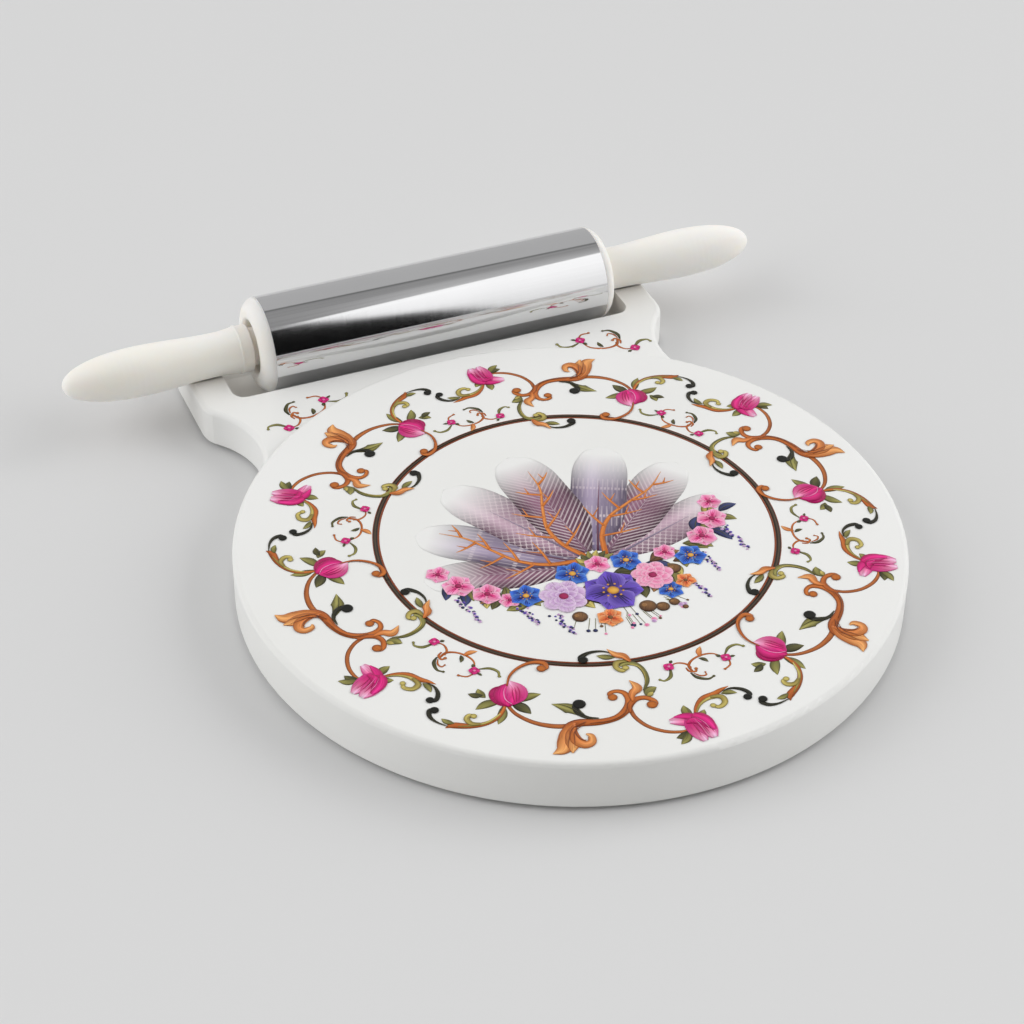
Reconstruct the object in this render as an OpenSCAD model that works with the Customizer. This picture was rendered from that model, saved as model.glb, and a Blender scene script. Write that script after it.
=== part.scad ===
// Chakla rolling board with a steel rolling pin lying in its rest.
// Millimetres, +Z up, +X along the pin, the disc towards -Y.

/* [Board] */
// Diameter of the rolling disc
disc_d = 280; // [260:2:300]
// Height of the disc's top above the top of the pin rest
disc_step = 5; // [3:0.5:8]
// Thickness of the outer walls of the moulded shell
wall = 2.6; // [2:0.2:3.4]
// Thickness of the shell's top skin
skin = 2.8; // [2.2:0.2:3.4]
// Rounding of the top edges
edge_r = 2.5; // [1:0.5:3]
// Rounding of the disc's bottom edge
base_edge_r = 1; // [0.5:0.25:1.5]

/* [Pin rest] */
// Flat land between the disc's rim and the trough
front_land = 11.2; // [8:0.1:14]
// Flat land behind the trough
back_land = 4.7; // [4.2:0.1:8]
// Flat land beyond each end of the trough, where a handle rests
end_land = 15.5; // [14:0.5:22]
// Gap around the end caps, measured from the pin's axis
trough_gap = 3.7; // [3:0.1:6]
// Gap beyond each end cap when the roller is pushed against its handle
end_gap = 5.4; // [3:0.1:9]
// Rounding inside the trough's ends
trough_round = 6; // [3:0.5:8]
// Gap between the end caps and the trough's floor
floor_gap = 1; // [0.5:0.1:2]
// Thickness of the trough's floor
trough_skin = 1.5; // [1.2:0.1:2.5]
// Wall of the trough below the rest's top
trough_wall = 2.2; // [1.8:0.2:3]
// Height of the pin's axis above the top of the rest
axis_rise = 9.3; // [8.6:0.1:9.9]
// Clearance between a handle and its saddle
saddle_gap = 0.3; // [0.3:0.05:0.5]
// Direction of each neck's centre, seen from the disc's centre
neck_angle = 39.7; // [36:0.1:43]
// Radius of the concave necks beside the disc
neck_r = 42; // [36:1:50]
// Depth by which each neck's arc bites into the disc's circle and the shoulder's
neck_bite = 0.2; // [0.1:0.05:0.6]
// Radius of the shoulders behind the necks
shoulder_r = 16; // [14:1:20]
// Radius of the rear corners
corner_r = 13; // [9:1:15]

/* [Ribs and base] */
// Radial ribs under the disc
rib_count = 12; // [6:6:18]
// Thickness of the ribs
rib_t = 1.6; // [1.2:0.1:2.2]
// Radius of the hub ring that the radial ribs start from
rib_hub_r = 20; // [14:1:26]
// Radii of the two ring ribs
ring_ribs = [62, 118];
// Thickness of the base cover
cover_t = 1.6; // [1.4:0.1:2.2]
// Gap between the base cover and the shell's walls
cover_gap = 0.25; // [0.2:0.05:0.4]
// Radius of the screw bosses
boss_r = 4; // [3.4:0.1:5]
// Distance of the disc's bosses from its centre
boss_circle_r = 96; // [84:1:104]
// Screws on that circle
disc_screws = 6; // [4:2:8]
// Shank radius of a base screw
screw_r = 1.5; // [1.25:0.05:1.75]
// Shank length of a base screw
screw_len = 9; // [7:0.5:10]
// Head radius of a base screw
screw_head_r = 2.9; // [2.6:0.1:3.2]
// Height of the feet below the base
foot_h = 2; // [1.5:0.25:4]
// Radius of a foot
foot_r = 8; // [6:0.5:10]
// Radius of the peg that holds a foot in the base cover
foot_peg_r = 3; // [2:0.25:4]
// Distance of the front and side feet from the disc's centre
foot_circle_r = 122; // [108:1:126]
// Gap between the rear feet and the rear wall
rear_foot_gap = 4; // [2:0.5:8]

/* [Roller] */
// Outer diameter of the roller tube
tube_d = 44; // [38:0.5:50]
// Length of the roller tube
tube_len = 162.6; // [140:0.2:180]
// Wall of the roller tube
tube_wall = 1; // [0.6:0.1:1.5]
// Radius of the cap's crown beyond that of the tube
cap_proud = 0.3; // [0.2:0.1:0.6]
// Length of the cap's crown beyond the tube
rim_len = 5.4; // [5:0.1:6.4]
// Rounding of the crown's outer side
rim_r = 7; // [6:0.1:7.2]
// Rounding of the crown's inner edge
rim_inner_r = 2.4; // [1.5:0.1:2.5]
// Gap between a handle's collar and the wall of the dish around it
dish_gap = 0.8; // [0.6:0.1:1.4]
// Depth of the dish in the cap's face
dish_depth = 10.6; // [9.6:0.1:12]
// Height of the core under the crown, above the tube's end
core_rise = 1.2; // [0.4:0.1:1.6]
// Depth of the cap's spigot inside the tube
spigot_len = 15; // [12:1:22]
// Wall of the cap's spigot, hub and web
cap_wall = 2.2; // [1.6:0.2:2.6]
// Length of the cap's hub, behind the dish
hub_len = 9; // [8:0.2:11]
// Ribs between the hub and the spigot
cap_ribs = 6; // [4:1:8]
// Clearance of parts that are pressed together
press_gap = 0.03; // [0.02:0.01:0.05]

/* [Axle and bushes] */
// Diameter of the axle rod
rod_d = 8; // [6:0.5:9]
// Length of the rod inside each handle
rod_in_handle = 58; // [40:1:70]
// Chamfer of the rod's ends
rod_chamfer = 0.8; // [0.4:0.1:1.2]
// Grip grooves near each end of the rod
rod_grooves = 4; // [2:1:6]
// Depth of a grip groove
groove_depth = 0.4; // [0.2:0.1:0.6]
// Pitch of the grip grooves
groove_pitch = 6; // [4:0.5:8]
// Radial clearance of a running fit
running_gap = 0.05; // [0.03:0.01:0.09]
// Wall of the bush's sleeve
bush_wall = 1.3; // [1.1:0.05:1.4]
// Radius by which the bush's flange stands out
flange_out = 1.15; // [0.9:0.05:1.2]
// Radius by which the clip stands out from the bush
clip_out = 1.8; // [1.4:0.1:2.4]
// Thickness of the bush's flange and of its clip
flange_t = 1.2; // [1:0.1:1.8]
// Gap beside the hub's end faces
face_gap = 0.3; // [0.3:0.05:0.5]
// Length of the bush past its clip
bush_tail = 1; // [0.5:0.1:2]
// Distance that the roller slides along the handles, each way from the middle
end_float = 5; // [1:0.1:5]

/* [Handles] */
// Length of a handle
handle_len = 81.8; // [70:0.5:95]
// Radius of the journal that the bush runs on
journal_r = 8.8; // [8.4:0.1:9]
// Length of the journal, inwards from the sleeve
journal_len = 24.5; // [24:0.5:30]
// Length of the sleeve between the journal and the lip
sleeve_len = 4.6; // [4:0.1:6]
// Radius by which the sleeve is less than the collar
sleeve_step = 0.3; // [0.2:0.1:0.6]
// Radius of the collar beside the roller
collar_r = 11.2; // [11:0.1:12]
// Width of the collar's lip
lip_w = 1.4; // [1:0.1:2]
// Chamfer of the journal's and the mouth's edges
collar_edge = 0.6; // [0.4:0.1:0.8]
// Radius of the handle's waist
waist_r = 10; // [9.6:0.1:10.5]
// Distance from the collar's face to the waist
waist_at = 11; // [9:0.5:13]
// Largest radius of the handle
belly_r = 11.4; // [10.8:0.1:13]
// Distance from the collar's face to the largest radius
belly_at = 47; // [40:0.5:52]
// Fullness of the rounded tip
tip_power = 2.15; // [2:0.05:3]

/* [Hidden] */
$fn = 96;
EPS = 0.01;
// Angle by which a cut runs on past the surface that it meets
RUN_ON = 5;
// Shift that makes a rounding cross the faces beside it
CROSS = 0.02;

white = [0.95, 0.95, 0.93];
cream = [0.94, 0.90, 0.82];
steel = [0.76, 0.77, 0.79];
nylon = [0.88, 0.87, 0.83];
dark = [0.16, 0.16, 0.17];
grey = [0.82, 0.82, 0.81];

// Radii of the roller and of what turns on the axle
tube_r = tube_d / 2;
tube_half = tube_len / 2;
cap_r = tube_r + cap_proud;
spigot_r = tube_r - tube_wall - press_gap;
spigot_bore_r = spigot_r - cap_wall;
rod_r = rod_d / 2;
bush_bore_r = journal_r + running_gap;
bush_r = bush_bore_r + bush_wall;
hub_bore_r = bush_r + running_gap;
hub_r = hub_bore_r + cap_wall;
flange_r = bush_r + flange_out;
clip_r = bush_r + clip_out;
dish_wall_r = max(collar_r + dish_gap, flange_r + face_gap);
sleeve_r = collar_r - sleeve_step;

// Places along the roller, from its middle
rim_end = tube_half + rim_len;
dish_floor = rim_end - dish_depth;
web_back = dish_floor - cap_wall;
hub_back = dish_floor - hub_len;
core_end = tube_half + core_rise;
thrust_face = dish_floor + face_gap + flange_t;
clip_face = hub_back - face_gap;

// Places along the pin, from its middle
sleeve_face = thrust_face + face_gap + end_float;
collar_face = sleeve_face + sleeve_len;
pin_half = collar_face + handle_len;
rod_half = collar_face + rod_in_handle;
roller_x = end_float;

// Heights, from the surface that the feet stand on
base_z = foot_h;
cover_top = base_z + cover_t;
floor_z = cover_top + trough_skin;
pin_z = floor_z + floor_gap + cap_r;
rest_top = pin_z - axis_rise;
disc_top = rest_top + disc_step;

// Plan sizes, from the disc's centre
disc_r = disc_d / 2;
trough_r = cap_r + trough_gap;
trough_half = rim_end + end_float + end_gap;
trough_half_w = on_grid(sqrt(pow(trough_r, 2) - pow(axis_rise, 2)));
pin_y = disc_r + front_land + trough_half_w;
back_y = pin_y + trough_half_w + back_land;
rest_half = trough_half + end_land;
neck_x = on_grid((disc_r + neck_r - neck_bite) * cos(neck_angle));
neck_y = on_grid((disc_r + neck_r - neck_bite) * sin(neck_angle));
shoulder_x = rest_half - shoulder_r;
shoulder_y = neck_y + on_grid(sqrt(pow(neck_r + shoulder_r - neck_bite, 2) - pow(neck_x - shoulder_x, 2)));
shoulder_turn = on_grid(atan2(shoulder_y - neck_y, neck_x - shoulder_x));
frame_y = (back_y - disc_r) / 2;
saddle_r = on_grid(max(handle_radius(trough_half - collar_face), handle_radius(rest_half - collar_face)) + saddle_gap);

// Inside of the shell
disc_ceiling = disc_top - skin;
rest_ceiling = rest_top - skin;
end_pocket_x = (trough_half + trough_wall + rest_half - wall) / 2;
end_boss_y = back_y - corner_r - boss_r;

// Rounds a place to a hundredth, so that every piece that uses it meets the others exactly
function on_grid(v) = round(v * 100) / 100;

// Radius of the handle at a distance from its collar's face
function handle_radius(a) =
    a < waist_at
        ? waist_r + (collar_r - waist_r) * pow(1 - a / waist_at, 2.2)
        : a < belly_at
            ? waist_r + (belly_r - waist_r) * (1 - cos(180 * (a - waist_at) / (belly_at - waist_at))) / 2
            : belly_r * pow(1 - pow((a - belly_at) / (handle_len - belly_at), tip_power), 1 / tip_power);

// Places of the screws and feet, from the disc's centre
function screw_places() = concat(
    [for (i = [0 : disc_screws - 1]) boss_circle_r * [cos(360 * i / disc_screws), sin(360 * i / disc_screws)]],
    [for (s = [-1, 1]) [s * end_pocket_x, end_boss_y]]
);
function foot_places() = concat(
    [for (a = [180, 0, -125, -55]) foot_circle_r * [cos(a), sin(a)]],
    [for (s = [-1, 1]) [s * (trough_half - foot_r), back_y - wall - foot_r - rear_foot_gap]]
);

// Corner that a rounding takes off: its edge is at the origin, the body lies towards -X and -Y
module corner_cut(r) {
    translate([CROSS - r, CROSS - r])
        difference() {
            square(r + 1);
            circle(r);
        }
}

// From the disc's centre to the shared frame
module at_board() {
    translate([0, -frame_y, 0])
        children();
}

// Turns a solid along +Z into one along +X on the pin's axis
module on_pin() {
    at_board()
        translate([0, pin_y, pin_z])
            rotate([0, 90, 0])
                children();
}

module on_both_sides() {
    children();
    mirror([1, 0, 0])
        children();
}

// Plan of the pin rest, drawn in by inset
module rest_outline(inset) {
    difference() {
        union() {
            translate([-(rest_half - inset), shoulder_y])
                square([2 * (rest_half - inset), back_y - corner_r - shoulder_y]);
            translate([-(rest_half - corner_r), shoulder_y])
                square([2 * (rest_half - corner_r), back_y - inset - shoulder_y]);
            for (s = [-1, 1]) {
                translate([s * (rest_half - corner_r), back_y - corner_r])
                    circle(corner_r - inset);
                translate([s * shoulder_x, shoulder_y])
                    circle(shoulder_r - inset);
            }
            polygon([
                [-shoulder_x, shoulder_y], [-neck_x, neck_y], [-neck_x / 2, neck_y / 2],
                [neck_x / 2, neck_y / 2], [neck_x, neck_y], [shoulder_x, shoulder_y]
            ]);
        }
        for (s = [-1, 1])
            translate([s * neck_x, neck_y])
                circle(neck_r + inset);
    }
}

// What the rounding takes off the rest's top edge
module rest_edge_cuts() {
    translate([-(rest_half - corner_r), back_y, rest_top])
        rotate([90, 0, 90])
            linear_extrude(2 * (rest_half - corner_r))
                corner_cut(edge_r);
    on_both_sides() {
        translate([rest_half, back_y - corner_r, rest_top])
            rotate([90, 0, 0])
                linear_extrude(back_y - corner_r - shoulder_y)
                    corner_cut(edge_r);
        translate([rest_half - corner_r, back_y - corner_r, rest_top])
            rotate_extrude(angle = 90)
                translate([corner_r, 0])
                    corner_cut(edge_r);
        translate([shoulder_x, shoulder_y, rest_top])
            mirror([0, 1, 0])
                rotate_extrude(angle = shoulder_turn)
                    translate([shoulder_r, 0])
                        corner_cut(edge_r);
        translate([neck_x, neck_y, rest_top])
            rotate([0, 0, 180 - shoulder_turn - RUN_ON])
                rotate_extrude(angle = shoulder_turn + neck_angle + 2 * RUN_ON)
                    translate([neck_r, 0])
                        mirror([1, 0])
                            corner_cut(edge_r);
    }
}

// Disc with its rounded rim
module disc_body() {
    translate([0, 0, base_z])
        rotate_extrude()
            difference() {
                square([disc_r, disc_top - base_z]);
                translate([disc_r, disc_top - base_z])
                    corner_cut(edge_r);
                translate([disc_r, 0])
                    mirror([0, 1])
                        corner_cut(base_edge_r);
            }
}

// Solid of revolution on the pin's axis that fills or lines the trough
module trough_form(grow, bottom) {
    half = trough_half + grow;
    r = trough_r + grow;
    intersection() {
        translate([0, pin_y, pin_z])
            rotate([0, 90, 0])
                rotate_extrude()
                    difference() {
                        translate([0, -half])
                            square([r, 2 * half]);
                        for (s = [0, 1])
                            mirror([0, s])
                                translate([r, half])
                                    corner_cut(trough_round + grow);
                    }
        translate([-half - 1, pin_y - r - 1, bottom])
            cube([2 * half + 2, 2 * r + 2, 2 * r]);
    }
}

// Round channels on the pin's axis through both ends of the rest
module saddle_form(grow) {
    on_both_sides()
        translate([trough_half - trough_wall, pin_y, pin_z])
            rotate([0, 90, 0])
                cylinder(r = saddle_r + grow, h = end_land + trough_wall + 1);
}

// Ribs and screw bosses, which stand on the base cover
module rib_grid() {
    rib_h = disc_top - cover_top;
    translate([0, 0, cover_top]) {
        for (i = [0 : rib_count - 1])
            rotate([0, 0, 360 * i / rib_count])
                translate([rib_hub_r, -rib_t / 2, 0])
                    cube([back_y - rib_hub_r, rib_t, rib_h]);
        for (r = concat([rib_hub_r], ring_ribs))
            difference() {
                cylinder(r = r + rib_t / 2, h = rib_h);
                translate([0, 0, -1])
                    cylinder(r = r - rib_t / 2, h = rib_h + 2);
            }
        for (p = screw_places())
            translate(p)
                cylinder(r = boss_r, h = rib_h);
    }
}

// Hollow under the top skin, open at the bottom and divided by the ribs
module shell_hollow() {
    difference() {
        union() {
            translate([0, 0, base_z - 1])
                cylinder(r = disc_r - wall, h = disc_ceiling - base_z + 1);
            translate([0, 0, base_z - 1])
                linear_extrude(rest_ceiling - base_z + 1)
                    rest_outline(wall);
        }
        trough_form(trough_wall, cover_top);
        saddle_form(trough_wall);
        translate([-trough_half, pin_y, cover_top])
            cube([2 * trough_half, back_y - pin_y, rest_top - cover_top]);
        rib_grid();
    }
}

module screw_pilots() {
    for (p = screw_places())
        translate([p[0], p[1], base_z])
            cylinder(r = screw_r + press_gap, h = cover_t + screw_len + 0.5);
}

module board_shell() {
    color(white)
        at_board()
            difference() {
                union() {
                    disc_body();
                    difference() {
                        translate([0, 0, base_z])
                            linear_extrude(rest_top - base_z)
                                rest_outline(0);
                        rest_edge_cuts();
                    }
                }
                shell_hollow();
                trough_form(0, floor_z);
                saddle_form(0);
                screw_pilots();
            }
}

module base_cover() {
    color(grey)
        at_board()
            difference() {
                translate([0, 0, base_z])
                    union() {
                        cylinder(r = disc_r - wall - cover_gap, h = cover_t);
                        linear_extrude(cover_t)
                            rest_outline(wall + cover_gap);
                    }
                for (p = screw_places())
                    translate([p[0], p[1], base_z]) {
                        translate([0, 0, -1])
                            cylinder(r = screw_r + 0.2, h = cover_t + 2);
                        translate([0, 0, -EPS])
                            cylinder(r1 = screw_head_r + 0.1, r2 = screw_r + 0.1, h = screw_head_r - screw_r);
                    }
                for (p = foot_places())
                    translate([p[0], p[1], base_z - 1])
                        cylinder(r = foot_peg_r + press_gap, h = cover_t + 2);
            }
}

module base_screws() {
    head_h = screw_head_r - screw_r;
    slot = [screw_head_r * 1.2, 0.7, 0.8];
    color(steel)
        at_board()
            for (p = screw_places())
                translate([p[0], p[1], base_z])
                    difference() {
                        union() {
                            cylinder(r1 = screw_head_r, r2 = screw_r, h = head_h);
                            cylinder(r = screw_r, h = cover_t + screw_len);
                        }
                        for (a = [0, 90])
                            rotate([0, 0, a])
                                translate([-slot[0] / 2, -slot[1] / 2, -slot[2] / 2])
                                    cube(slot);
                    }
}

module rubber_feet() {
    color(dark)
        at_board()
            for (p = foot_places())
                translate(p)
                    rotate_extrude()
                        polygon([
                            [0, 0], [foot_r - 0.6, 0], [foot_r, 0.6], [foot_r, foot_h],
                            [foot_peg_r, foot_h], [foot_peg_r, foot_h + cover_t], [0, foot_h + cover_t]
                        ]);
}

module roller_tube() {
    color(steel)
        on_pin()
            translate([0, 0, roller_x - tube_half])
                difference() {
                    cylinder(r = tube_r, h = tube_len);
                    translate([0, 0, -1])
                        cylinder(r = tube_r - tube_wall, h = tube_len + 2);
                }
}

// Half section of an end cap: +X is the radius, +Y points outwards along the roller
module cap_section() {
    difference() {
        polygon([
            [hub_bore_r, hub_back], [hub_bore_r, dish_floor], [dish_wall_r, dish_floor],
            [dish_wall_r, rim_end], [cap_r, rim_end], [cap_r, tube_half],
            [spigot_r, tube_half], [spigot_r, tube_half - spigot_len], [spigot_bore_r, tube_half - spigot_len],
            [spigot_bore_r, core_end], [dish_wall_r + cap_wall, core_end], [dish_wall_r + cap_wall, web_back],
            [hub_r, web_back], [hub_r, hub_back]
        ]);
        translate([cap_r, rim_end])
            corner_cut(rim_r);
        translate([dish_wall_r, rim_end])
            mirror([1, 0])
                corner_cut(rim_inner_r);
    }
}

// Ribs between the hub and the spigot
module cap_rib_set() {
    start = max(tube_half - spigot_len, hub_back) + cap_wall;
    for (i = [0 : cap_ribs - 1])
        rotate([0, 0, 360 * (i + 0.5) / cap_ribs])
            translate([hub_r - cap_wall / 2, -rib_t / 2, start])
                cube([spigot_bore_r - hub_r + cap_wall, rib_t, web_back + cap_wall / 2 - start]);
}

module end_cap() {
    rotate_extrude()
        cap_section();
    cap_rib_set();
}

module right_cap() {
    color(cream)
        on_pin()
            translate([0, 0, roller_x])
                end_cap();
}

module left_cap() {
    color(cream)
        on_pin()
            translate([0, 0, roller_x])
                mirror([0, 0, 1])
                    end_cap();
}

module bush() {
    back = clip_face - flange_t - bush_tail;
    rotate_extrude()
        polygon([
            [bush_bore_r, back], [bush_r - 0.4, back], [bush_r, back + 0.4],
            [bush_r, thrust_face - flange_t], [flange_r, thrust_face - flange_t],
            [flange_r, thrust_face - 0.3], [flange_r - 0.3, thrust_face], [bush_bore_r, thrust_face]
        ]);
}

module right_bush() {
    color(nylon)
        on_pin()
            translate([0, 0, roller_x])
                bush();
}

module left_bush() {
    color(nylon)
        on_pin()
            translate([0, 0, roller_x])
                mirror([0, 0, 1])
                    bush();
}

module bush_clips() {
    color(steel)
        on_pin()
            translate([0, 0, roller_x])
                for (s = [0, 1])
                    mirror([0, 0, s])
                        translate([0, 0, clip_face - flange_t])
                            difference() {
                                cylinder(r = clip_r, h = flange_t);
                                translate([0, 0, -1])
                                    cylinder(r = bush_r + press_gap, h = flange_t + 2);
                            }
}

module axle_rod() {
    color(steel)
        on_pin()
            rotate_extrude()
                difference() {
                    polygon([
                        [0, -rod_half], [rod_r - rod_chamfer, -rod_half], [rod_r, -rod_half + rod_chamfer],
                        [rod_r, rod_half - rod_chamfer], [rod_r - rod_chamfer, rod_half], [0, rod_half]
                    ]);
                    for (s = [-1, 1], i = [1 : rod_grooves])
                        translate([rod_r - groove_depth, s * (rod_half - i * groove_pitch) - 0.6])
                            square([2, 1.2]);
                }
}

// A handle along +Z: its collar's face is at the origin, its sleeve and journal below and its tip above
module handle() {
    neck_steps = 8;
    belly_steps = 14;
    tip_steps = 18;
    journal_end = -sleeve_len - journal_len;
    difference() {
        rotate_extrude()
            polygon(concat(
                [
                    [0, journal_end], [journal_r - collar_edge, journal_end],
                    [journal_r, journal_end + collar_edge], [journal_r, -sleeve_len],
                    [sleeve_r - collar_edge / 2, -sleeve_len], [sleeve_r, collar_edge / 2 - sleeve_len],
                    [sleeve_r, 0], [collar_r, lip_w / 4], [collar_r, 3 * lip_w / 4]
                ],
                [for (i = [0 : neck_steps - 1])
                    let (a = lip_w + (waist_at - lip_w) * i / neck_steps)
                    [handle_radius(a), a]],
                [for (i = [0 : belly_steps - 1])
                    let (a = waist_at + (belly_at - waist_at) * i / belly_steps)
                    [handle_radius(a), a]],
                [for (i = [0 : tip_steps - 1])
                    let (a = belly_at + (handle_len - belly_at) * sin(90 * i / tip_steps))
                    [handle_radius(a), a]],
                [[0, handle_len]]
            ));
        translate([0, 0, journal_end - 1])
            cylinder(r = rod_r + press_gap, h = 1.5 + rod_in_handle - journal_end);
        translate([0, 0, journal_end - EPS])
            cylinder(r1 = rod_r + collar_edge, r2 = rod_r, h = collar_edge);
    }
}

module right_handle() {
    color(cream)
        on_pin()
            translate([0, 0, collar_face])
                handle();
}

module left_handle() {
    color(cream)
        on_pin()
            mirror([0, 0, 1])
                translate([0, 0, collar_face])
                    handle();
}

board_shell();
base_cover();
base_screws();
rubber_feet();
roller_tube();
left_cap();
right_cap();
left_bush();
right_bush();
bush_clips();
axle_rod();
left_handle();
right_handle();
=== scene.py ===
import math

import bpy
import numpy as np
from mathutils import Matrix, Vector


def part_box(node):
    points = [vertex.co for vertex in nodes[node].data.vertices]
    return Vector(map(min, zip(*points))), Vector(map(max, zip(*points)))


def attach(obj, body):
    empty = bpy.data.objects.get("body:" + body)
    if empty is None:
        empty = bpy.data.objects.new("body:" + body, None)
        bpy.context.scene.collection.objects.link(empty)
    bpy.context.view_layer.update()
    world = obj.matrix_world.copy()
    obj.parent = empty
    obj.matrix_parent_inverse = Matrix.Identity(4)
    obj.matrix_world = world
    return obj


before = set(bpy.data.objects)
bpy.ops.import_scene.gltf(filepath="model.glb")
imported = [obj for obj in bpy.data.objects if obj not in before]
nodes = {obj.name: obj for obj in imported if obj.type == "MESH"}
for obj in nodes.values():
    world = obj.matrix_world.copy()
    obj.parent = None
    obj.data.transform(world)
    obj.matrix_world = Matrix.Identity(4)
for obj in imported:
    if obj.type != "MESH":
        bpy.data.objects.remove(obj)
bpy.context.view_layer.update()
MM = 0.001

# Places in the model's frame, in millimetres
shell_low, shell_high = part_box("board_shell")
DISC_R = (shell_high.x - shell_low.x) / 2 / MM
DISC_Y = shell_low.y / MM + DISC_R
DISC_TOP = shell_high.z / MM
REST_STEP = 5.0  # the pin rest's top lies this much lower than the disc's
REST_TOP = DISC_TOP - REST_STEP


# Shader tools

class Wire:
    """A socket of a material's nodes. Arithmetic on it adds Math nodes."""

    def __init__(self, tree, socket=None):
        self.tree = tree
        self.socket = socket

    def node(self, kind, settings=None, inputs=None, out=0):
        """Adds a node: its settings first, then the values or links of its sockets."""
        made = self.tree.nodes.new("ShaderNode" + kind)
        for key, value in (settings or {}).items():
            setattr(made, key, value)
        for key, value in (inputs or {}).items():
            if isinstance(value, Wire):
                self.tree.links.new(value.socket, made.inputs[key])
            else:
                made.inputs[key].default_value = value
        return Wire(self.tree, made.outputs[out])

    def math(self, operation, *values):
        return self.node("Math", {"operation": operation}, dict(enumerate(values)))

    def __add__(self, other):
        return self.math("ADD", self, other)

    def __radd__(self, other):
        return self.math("ADD", other, self)

    def __sub__(self, other):
        return self.math("SUBTRACT", self, other)

    def __rsub__(self, other):
        return self.math("SUBTRACT", other, self)

    def __mul__(self, other):
        return self.math("MULTIPLY", self, other)

    def __rmul__(self, other):
        return self.math("MULTIPLY", other, self)

    def smooth(self, low, high):
        """0 below low, 1 above high and an S-shaped rise between."""
        return self.node("MapRange", {"interpolation_type": "SMOOTHSTEP"}, {0: self, 1: low, 2: high})

    def between(self, a, b):
        """Mixes two colours, with this value as the factor."""
        return self.node("Mix", {"data_type": "RGBA"}, {0: self, 6: a, 7: b}, out=2)

    def noise(self, scale, detail=2.0, stretch=(1, 1, 1)):
        """Noise on the object's own coordinates, drawn out by stretch."""
        place = self.node("TexCoord", out="Object")
        place = self.node("Mapping", None, {"Vector": place, "Scale": stretch})
        return self.node("TexNoise", None, {"Vector": place, "Scale": scale, "Detail": detail})

    def bump(self, height, strength, distance):
        return self.node("Bump", None, {"Height": height, "Strength": strength, "Distance": distance})


def rgb(red, green, blue):
    """A colour given in screen values from 0 to 255, as linear light."""
    c = np.array([red, green, blue]) / 255
    return tuple(np.where(c <= 0.04045, c / 12.92, ((c + 0.055) / 1.055) ** 2.4).tolist()) + (1.0,)


def finish(name, constants, build):
    """A material: constants go on the shader's own sockets, and build gives its varying ones."""
    material = bpy.data.materials.new(name)
    material.use_nodes = True
    tree = material.node_tree
    shader = tree.nodes["Principled BSDF"]
    for key, value in constants.items():
        shader.inputs[key].default_value = value
    for key, wire in build(Wire(tree)).items():
        tree.links.new(wire.socket, shader.inputs[key])
    return material


# Finishes

def white_moulding(w):
    cloud = w.noise(9, 3)
    ripple = w.noise(70, 2)
    grain = w.noise(1600, 1)
    return {
        "Base Color": cloud.smooth(0.3, 0.7).between(rgb(236, 236, 233), rgb(240, 240, 238)),
        "Roughness": 0.26 + 0.1 * w.noise(40, 4),
        "Normal": w.bump(ripple + 0.12 * grain, 0.12, 0.0004),
    }


def matte_moulding(w):
    return {
        "Base Color": w.noise(20, 3).between(rgb(214, 214, 211), rgb(224, 224, 221)),
        "Roughness": 0.5 + 0.15 * w.noise(60, 3),
        "Normal": w.bump(w.noise(1500, 2), 0.25, 0.0001),
    }


def cream_moulding(w):
    swirl = w.noise(26, 4, (0.4, 1, 1))
    return {
        "Base Color": swirl.smooth(0.3, 0.72).between(rgb(252, 243, 233), rgb(255, 249, 242)),
        "Roughness": 0.3 + 0.12 * w.noise(90, 3),
        "Normal": w.bump(w.noise(120, 3) + 0.1 * w.noise(1500, 1), 0.1, 0.0003),
    }


def polished_tube(w):
    streak = w.noise(1, 3, (2200, 12, 12))
    wear = w.noise(24, 4)
    return {
        "Base Color": wear.between(rgb(214, 214, 215), rgb(224, 224, 225)),
        "Roughness": 0.03 + 0.04 * streak + 0.03 * wear,
        "Normal": w.bump(streak, 0.09, 0.00002),
    }


def drawn_rod(w):
    line = w.noise(1, 2, (60, 900, 900))
    return {
        "Base Color": line.between(rgb(176, 177, 180), rgb(205, 206, 209)),
        "Roughness": 0.2 + 0.15 * line,
    }


def zinc_plate(w):
    patch = w.noise(400, 3)
    return {
        "Base Color": patch.between(rgb(165, 167, 168), rgb(196, 198, 200)),
        "Roughness": 0.3 + 0.2 * patch,
    }


def natural_nylon(w):
    return {
        "Base Color": w.noise(80, 2).between(rgb(222, 217, 202), rgb(232, 228, 216)),
        "Roughness": 0.4 + 0.1 * w.noise(300, 2),
    }


def black_rubber(w):
    dust = w.noise(120, 5)
    return {
        "Base Color": dust.smooth(0.45, 0.8).between(rgb(34, 34, 36), rgb(62, 61, 60)),
        "Roughness": 0.65 + 0.2 * dust,
        "Normal": w.bump(w.noise(1800, 2), 0.3, 0.0001),
    }


def brush_marks(w):
    """Streaks that run along a stroke, from its own length and width in millimetres."""
    mark = w.node("Attribute", {"attribute_name": "stroke"}, out="Vector")
    mark = w.node("Mapping", None, {"Vector": mark, "Scale": (0.16, 1.9, 7.0)})
    return w.node("TexNoise", None, {"Vector": mark, "Scale": 1.0, "Detail": 3.0})


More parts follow.
